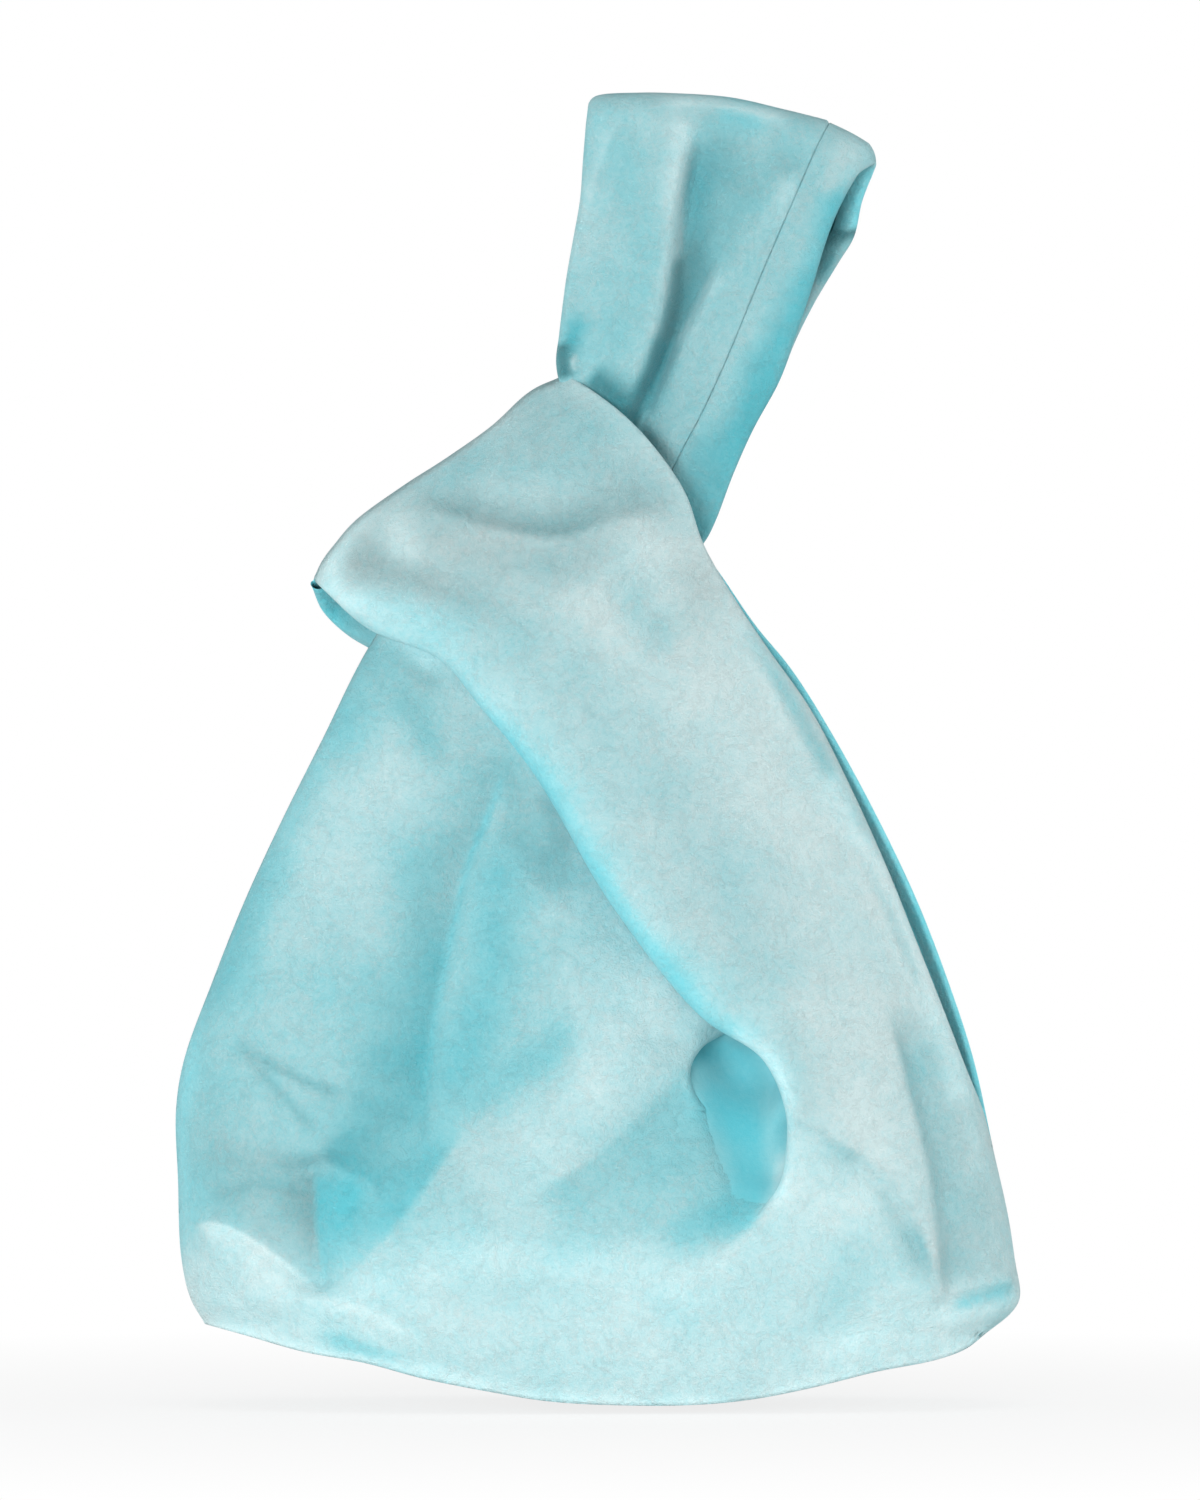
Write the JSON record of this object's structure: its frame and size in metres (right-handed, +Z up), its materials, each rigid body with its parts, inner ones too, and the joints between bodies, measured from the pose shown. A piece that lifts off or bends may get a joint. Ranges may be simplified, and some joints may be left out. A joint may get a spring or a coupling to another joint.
{
  "type": "japanese knot bag",
  "caption": "Small velvet wrist bag: its long strap passes through the wide loop of its short strap and stands up as the handle.",
  "frame": {"origin": "under the middle of the bag, on the surface that it stands on", "axes": "+X to the right as the front is seen, +Z up; the front faces -Y"},
  "size_m": [0.2273, 0.0928, 0.3533],
  "materials": {
    "pouch_velvet": "aqua short-pile velvet, mottled by the lie of its pile",
    "strap_velvet": "aqua short-pile velvet, paler where it is stretched over the loop",
    "handle_velvet": "aqua short-pile velvet, deeper in tone along its pleats",
    "lining_velvet": "the same velvet inside the pouch, in shade"
  },
  "bodies": {
    "pouch": {"front_panel": "pouch_velvet", "back_panel": "pouch_velvet", "base_panel": "pouch_velvet", "lining_front": "lining_velvet", "lining_back": "lining_velvet", "short_strap_front": "strap_velvet", "short_strap_back": "strap_velvet"},
    "handle_neck": {"handle_neck_front": "handle_velvet", "handle_neck_back": "handle_velvet"},
    "handle": {"handle_front": "handle_velvet", "handle_border_front": "handle_velvet", "handle_back": "handle_velvet", "handle_border_back": "handle_velvet"}
  },
  "joints": [
    {"name": "handle_pull", "type": "slide", "parent": "pouch", "child": "handle_neck", "axis": [0.55, 0, 0.8352], "range_m": [0, 0.015]},
    {"name": "handle_swing", "type": "hinge", "parent": "handle_neck", "child": "handle", "pos_m": [0.01148, 0, 0.26485], "axis": [0.6434, 0, -0.7655], "range_deg": [-50, 50]}
  ]
}
